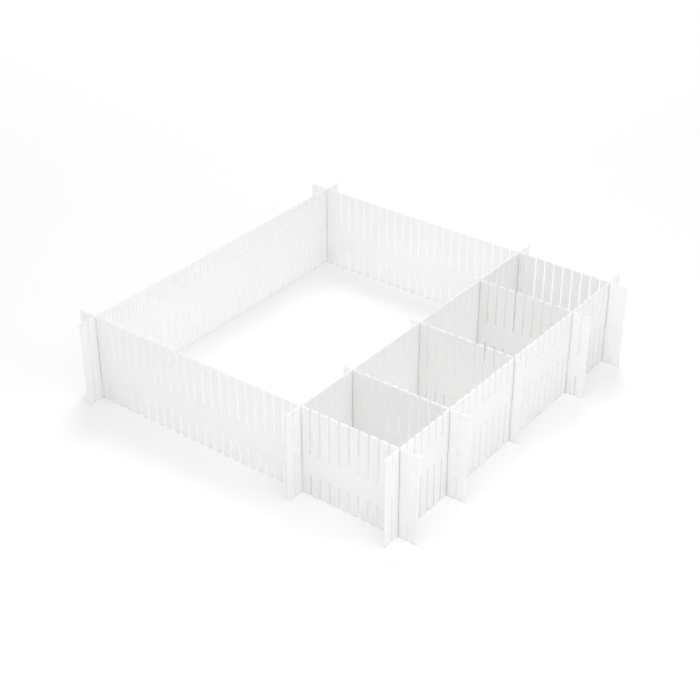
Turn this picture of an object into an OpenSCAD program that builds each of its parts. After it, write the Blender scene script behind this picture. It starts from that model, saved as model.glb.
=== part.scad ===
// Drawer organizer insert: slotted plastic strips that cross and interlock.
//
// Every strip is the same flat comb.  At each slot step it has a deep slit from
// one edge and a shallow slit from the other, with a solid band between them.
// Strips along X stand with their deep slits up.  Strips along Y are the same
// strip turned over, so their deep slits drop over the bands of the X strips.
// Three short dividers are one full strip snapped apart along its slits.
//
// Origin: centre of the footprint, on the surface that the insert stands on.
// +X runs along the front wall, +Y from front to back, +Z up.

/* [Strips] */
// Distance from one slot to the next
pitch = 8; // [6.5:0.5:12]
// Height of every strip
strip_h = 70; // [50:1:100]
// Thickness of every strip
strip_t = 1.2; // [1:0.1:1.3]
// Width of every slit, a little more than the thickness
slit_w = 1.4; // [1.4:0.1:1.8]
// Radius of the rounded corners beside each slit's mouth
mouth_r = 1; // [0.5:0.1:2]

/* [Layout] */
// Slot steps from the left wall to the middle wall
bay_steps = 24; // [8:1:30]
// Slot steps from the middle wall to the right wall
column_steps = 10; // [4:1:14]
// Slot steps from the front wall to the back wall
depth_steps = 34; // [30:1:40]
// Slot steps from the front wall to the front divider
front_divider_step = 7; // [3:1:9]
// Slot steps from the front wall to the centre divider
centre_divider_step = 17; // [12:1:19]
// Slot steps from the front wall to the rear divider
rear_divider_step = 27; // [22:1:28]

/* [Overhangs] */
// Slot steps that a full strip runs on past the outer crossings
wall_overhang = 2; // [1:1:3]
// Slot steps that each divider runs on past the middle wall
divider_stub = 1; // [1:1:2]
// Slot steps that the front and rear dividers run on past the right wall
divider_overhang = 2; // [1:1:3]
// Slot steps that the centre divider runs on past the right wall
centre_overhang = 1; // [1:1:3]

/* [Hidden] */
$fn = 48;
slit_r = slit_w / 2;                       // radius of a slit's round inner end
corner_rise = slit_r - sqrt(pow(slit_r, 2) - pow(strip_t / 2, 2));
seat_gap = corner_rise + 0.15;             // keeps a crossing band's corners off the round end
deep_slit = strip_h / 2 + seat_gap;
shallow_slit = strip_h / 4;
width_steps = bay_steps + column_steps;
left_x = -width_steps * pitch / 2;         // plane of the left wall
front_y = -depth_steps * pitch / 2;        // plane of the front wall
plastic = [0.95, 0.95, 0.93];

// Flared opening cut into an edge at y = 0, with the strip's material below it
module mouth() {
    flare = slit_r + mouth_r;
    difference() {
        translate([-flare, -mouth_r]) square([2 * flare, 2 * mouth_r]);
        for (side = [-1, 1]) translate([side * flare, -mouth_r]) circle(mouth_r);
    }
}

// Slit of the given depth with a flared mouth and a full-round inner end
module slit(depth) {
    straight = depth - slit_r;
    mouth();
    translate([-slit_r, -straight]) square([slit_w, straight + mouth_r]);
    translate([0, -straight]) circle(slit_r);
}

// Flat comb from slot step `first` to slot step `last`, standing on y = 0 with
// its deep slits up; it ends where it was snapped, at the side of a slit
module comb(first, last) {
    start = first * pitch + slit_r;
    length = (last - first) * pitch - slit_w;
    difference() {
        translate([start, 0]) square([length, strip_h]);
        for (step = [first + 1 : last - 1]) {
            translate([step * pitch, strip_h]) slit(deep_slit);
            translate([step * pitch, 0]) mirror([0, 1]) slit(shallow_slit);
        }
        for (step = [first, last]) {
            translate([step * pitch, strip_h]) mouth();
            translate([step * pitch, 0]) mirror([0, 1]) mouth();
        }
    }
}

// Strip that stands in the plane y = 0 with its deep slits up
module strip(first, last) {
    color(plastic)
        rotate([90, 0, 0])
            linear_extrude(strip_t, center = true)
                comb(first, last);
}

// Strip along X at a slot step behind the front wall; its steps count from the left wall
module x_strip(at_step, first, last) {
    translate([left_x, front_y + at_step * pitch, 0]) strip(first, last);
}

// Strip along Y at a slot step right of the left wall, turned over so that its
// deep slits open downward; its steps count from the front wall
module y_strip(at_step, first, last) {
    translate([left_x + at_step * pitch, front_y, strip_h])
        rotate([180, 0, 90]) strip(first, last);
}

module front_wall() x_strip(0, -wall_overhang, width_steps + wall_overhang);

module back_wall() x_strip(depth_steps, -wall_overhang, width_steps + wall_overhang);

module left_wall() y_strip(0, -wall_overhang, depth_steps + wall_overhang);

module middle_wall() y_strip(bay_steps, -wall_overhang, depth_steps + wall_overhang);

module right_wall() y_strip(width_steps, -wall_overhang, depth_steps + wall_overhang);

module divider(at_step, overhang) {
    x_strip(at_step, bay_steps - divider_stub, width_steps + overhang);
}

module front_divider() divider(front_divider_step, divider_overhang);

module centre_divider() divider(centre_divider_step, centre_overhang);

module rear_divider() divider(rear_divider_step, divider_overhang);

front_wall();
back_wall();
left_wall();
middle_wall();
right_wall();
front_divider();
centre_divider();
rear_divider();
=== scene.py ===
import math

import bpy
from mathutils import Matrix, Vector


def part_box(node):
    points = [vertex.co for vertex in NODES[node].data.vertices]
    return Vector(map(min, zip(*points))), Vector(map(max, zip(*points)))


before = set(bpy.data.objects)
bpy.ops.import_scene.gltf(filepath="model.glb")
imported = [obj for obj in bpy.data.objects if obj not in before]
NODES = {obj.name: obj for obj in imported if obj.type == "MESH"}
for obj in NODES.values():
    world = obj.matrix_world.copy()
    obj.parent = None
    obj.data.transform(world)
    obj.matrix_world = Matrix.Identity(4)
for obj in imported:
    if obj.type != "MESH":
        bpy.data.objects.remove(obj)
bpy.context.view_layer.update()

MM = 0.001                          # metres in a millimetre

# ---------------------------------------------------------------- camera

CAMERA_AZIMUTH = 37.35              # degrees, turned from the front towards the right side
CAMERA_ELEVATION = 31.6
CAMERA_DISTANCE = 1.132
CAMERA_TARGET = Vector((-0.0294, 0.0293, 0.0))
CAMERA_LENS = 73.6                  # millimetres
SENSOR_WIDTH = 36                   # millimetres
FAR_CLIP = 20                       # metres


def direction(azimuth, elevation):
    """Unit vector from the object towards a point seen at that azimuth and elevation."""
    a, e = math.radians(azimuth), math.radians(elevation)
    return Vector((math.sin(a) * math.cos(e), -math.cos(a) * math.cos(e), math.sin(e)))


def aim(obj, place, target):
    """Puts a camera or light at a place and turns it towards a target."""
    obj.location = place
    obj.rotation_euler = (target - place).to_track_quat("-Z", "Y").to_euler()


def add_camera():
    data = bpy.data.cameras.new("camera")
    data.sensor_width = SENSOR_WIDTH
    data.lens = CAMERA_LENS
    data.clip_end = FAR_CLIP
    camera = bpy.data.objects.new("camera", data)
    bpy.context.scene.collection.objects.link(camera)
    view_from = direction(CAMERA_AZIMUTH, CAMERA_ELEVATION)
    aim(camera, CAMERA_TARGET + CAMERA_DISTANCE * view_from, CAMERA_TARGET)
    bpy.context.scene.camera = camera


# ---------------------------------------------------------------- materials

def new_material(name):
    material = bpy.data.materials.new(name)
    material.use_nodes = True
    tree = material.node_tree
    return material, tree, tree.nodes["Principled BSDF"]


MIX_COLOUR_INPUTS = (6, 7)          # the Mix node's two colour inputs
MIX_COLOUR_OUTPUT = 2               # its colour output


class Nodes:
    """Short calls for building one material's node tree."""

    def __init__(self, tree):
        self.tree = tree

    def add(self, kind, inputs=(), **settings):
        node = self.tree.nodes.new("ShaderNode" + kind)
        for key, value in settings.items():
            setattr(node, key, value)
        for key, value in dict(inputs).items():
            if isinstance(value, bpy.types.NodeSocket):
                self.tree.links.new(value, node.inputs[key])
            else:
                node.inputs[key].default_value = value
        return node

    def stretched(self, coords, scale):
        """Coordinates multiplied by a scale for each axis, in features per metre."""
        return self.add("Mapping", {"Vector": coords, "Scale": scale}).outputs["Vector"]

    def noise(self, coords, detail=2.0, roughness=0.5):
        """Noise from 0 to 1; its scale is already in the coordinates."""
        inputs = {"Vector": coords, "Scale": 1.0, "Detail": detail, "Roughness": roughness}
        return self.add("TexNoise", inputs).outputs["Fac"]

    def ramp(self, value, low, high, to_low=0.0, to_high=1.0):
        """Value stretched from low..high to to_low..to_high, and held at both ends."""
        inputs = {
            "Value": value,
            "From Min": low,
            "From Max": high,
            "To Min": to_low,
            "To Max": to_high,
        }
        return self.add("MapRange", inputs).outputs["Result"]

    def math(self, operation, a, b):
        return self.add("Math", {0: a, 1: b}, operation=operation).outputs["Value"]

    def bump(self, height, strength, distance, normal=None):
        """Normal bent by a height; it adds to the relief of the normal given."""
        inputs = {"Strength": strength, "Distance": distance, "Height": height}
        if normal is not None:
            inputs["Normal"] = normal
        return self.add("Bump", inputs).outputs["Normal"]

    def mix(self, factor, a, b):
        """Colour a where the factor is 0 and colour b where it is 1."""
        node = self.add("Mix", {"Factor": factor}, data_type="RGBA")
        first, second = MIX_COLOUR_INPUTS
        for socket, value in ((node.inputs[first], a), (node.inputs[second], b)):
            if isinstance(value, bpy.types.NodeSocket):
                self.tree.links.new(value, socket)
            else:
                socket.default_value = (*value, 1)
        return node.outputs[MIX_COLOUR_OUTPUT]


def edge_mask(n, radius):
    """1 on edges sharper than the radius and 0 on flat faces."""
    rounded = n.add("Bevel", {"Radius": radius}, samples=6).outputs["Normal"]
    flat = n.add("NewGeometry").outputs["Normal"]
    agree = n.add("VectorMath", {0: rounded, 1: flat}, operation="DOT_PRODUCT").outputs["Value"]
    return n.ramp(agree, 0.995, 0.80)


def moulded_polypropylene(name):
    """White translucent polypropylene with a fine mould grain."""
    material, tree, shader = new_material(name)
    n = Nodes(tree)
    coords = n.add("TexCoord").outputs["Object"]
    clouds = n.noise(n.stretched(coords, (28, 28, 28)), detail=3)
    streaks = n.noise(n.stretched(coords, (420, 420, 9)), detail=3, roughness=0.6)
    scuffs = n.noise(n.stretched(coords, (160, 160, 160)), detail=5, roughness=0.7)
    grain = n.noise(n.stretched(coords, (2600, 2600, 2600)), detail=3)
    edges = edge_mask(n, 0.5 * MM)

    # colour: cloudy melt, faint draw lines down each tooth, whitened edges
    body = n.mix(n.ramp(clouds, 0.3, 0.7), (0.962, 0.961, 0.946), (0.985, 0.984, 0.972))
    body = n.mix(n.ramp(streaks, 0.42, 0.72, 0.0, 0.55), body, (0.940, 0.939, 0.924))
    worn = n.math("MULTIPLY", edges, n.ramp(scuffs, 0.35, 0.6, 0.45, 1.0))
    body = n.mix(worn, body, (0.992, 0.992, 0.984))
    tree.links.new(body, shader.inputs["Base Color"])

    # gloss: satin, uneven where it was handled, duller on the worn edges
    satin = n.ramp(scuffs, 0.3, 0.7, 0.34, 0.50)
    satin = n.math("ADD", satin, n.ramp(clouds, 0.3, 0.7, -0.03, 0.03))
    satin = n.math("ADD", satin, n.math("MULTIPLY", worn, 0.12))
    tree.links.new(satin, shader.inputs["Roughness"])

    # relief: mould grain over a slight waviness of the thin walls
    waves = n.bump(clouds, 0.35, 0.35 * MM)
    lines = n.bump(streaks, 0.25, 0.04 * MM, waves)
    pits = n.bump(grain, 0.35, 0.03 * MM, lines)
    tree.links.new(pits, shader.inputs["Normal"])

    shader.inputs["IOR"].default_value = 1.49
    shader.inputs["Subsurface Weight"].default_value = 1.0
    shader.inputs["Subsurface Radius"].default_value = (1.0, 1.0, 0.96)
    shader.inputs["Subsurface Scale"].default_value = 2.0 * MM
    return material


def studio_floor():
    """Smooth white paper that glows a little, like a light table."""
    material, tree, shader = new_material("studio_floor")
    n = Nodes(tree)
    coords = n.add("TexCoord").outputs["Object"]
    paper = n.noise(n.stretched(coords, (900, 900, 900)), detail=2)
    tree.links.new(n.mix(paper, (0.925, 0.925, 0.925), (0.94, 0.94, 0.94)), shader.inputs["Base Color"])
    tree.links.new(n.ramp(paper, 0.3, 0.7, 0.85, 0.95), shader.inputs["Roughness"])
    shader.inputs["Specular IOR Level"].default_value = 0.2
    shader.inputs["Emission Color"].default_value = (1, 1, 1, 1)
    shader.inputs["Emission Strength"].default_value = 0.08
    return material


# ---------------------------------------------------------------- stage

FLOOR_SIZE = 60.0                   # metres, so that its edge stays far off
WORLD_STRENGTH = 0.56


def add_floor():
    bpy.ops.mesh.primitive_plane_add(size=FLOOR_SIZE, location=(0, 0, 0))
    floor = bpy.context.object
    floor.name = "floor"
    floor.data.materials.append(studio_floor())


def add_softbox(name, place, target, size, power):
    """Square area light of a size in metres and a power in watts, unseen by the camera."""
    data = bpy.data.lights.new(name, "AREA")
    data.shape = "SQUARE"
    data.size = size
    data.energy = power
    light = bpy.data.objects.new(name, data)
    light.visible_camera = False
    bpy.context.scene.collection.objects.link(light)
    aim(light, Vector(place), Vector(target))


def add_world():
    world = bpy.data.worlds.new("studio")
    world.use_nodes = True
    background = world.node_tree.nodes["Background"]
    background.inputs["Color"].default_value = (1, 1, 1, 1)
    background.inputs["Strength"].default_value = WORLD_STRENGTH
    bpy.context.scene.world = world


def add_light():
    add_world()
    low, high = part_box("middle_wall")[0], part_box("right_wall")[1]
    column = ((low.x + high.x) / 2, 0, 0)
    centre = (0, 0, 0)
    add_softbox("key", (0.469, -0.1, 0.46), column, size=0.4, power=0.65)
    add_softbox("front_fill", (0.214, -0.323, 0.491), column, size=0.4, power=0.65)
    add_softbox("left_fill", (-1.225, -0.707, 1.414), centre, size=1.2, power=2.5)
    add_softbox("back_sweep", (-0.8, 1.3, 2.0), (-0.75, 1.15, 0), size=1.2, power=22)


# ---------------------------------------------------------------- object

EDGE_WIDTH = 0.15 * MM
TRUE_EDGE = math.radians(50)        # faces that meet at more than this form an edge


def dress_strip(obj, material):
    """Gives a CAD strip its finish and rounds its moulded edges.

    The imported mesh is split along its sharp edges, so it is welded first,
    and its flat faces are joined so that the bevel runs along true edges only.
    """
    obj.data.materials.clear()
    obj.data.materials.append(material)
    weld = obj.modifiers.new("joined_faces", "WELD")
    weld.merge_threshold = 0.001 * MM
    flat = obj.modifiers.new("flat_faces", "DECIMATE")
    flat.decimate_type = "DISSOLVE"
    flat.angle_limit = math.radians(1)
    bevel = obj.modifiers.new("moulded_edges", "BEVEL")
    bevel.width = EDGE_WIDTH
    bevel.segments = 2
    bevel.limit_method = "ANGLE"
    bevel.angle_limit = TRUE_EDGE
    bevel.use_clamp_overlap = False


add_camera()
add_floor()
add_light()
bpy.context.scene.view_settings.view_transform = "Standard"

white = moulded_polypropylene("white_plastic")
for strip in NODES.values():
    dress_strip(strip, white)
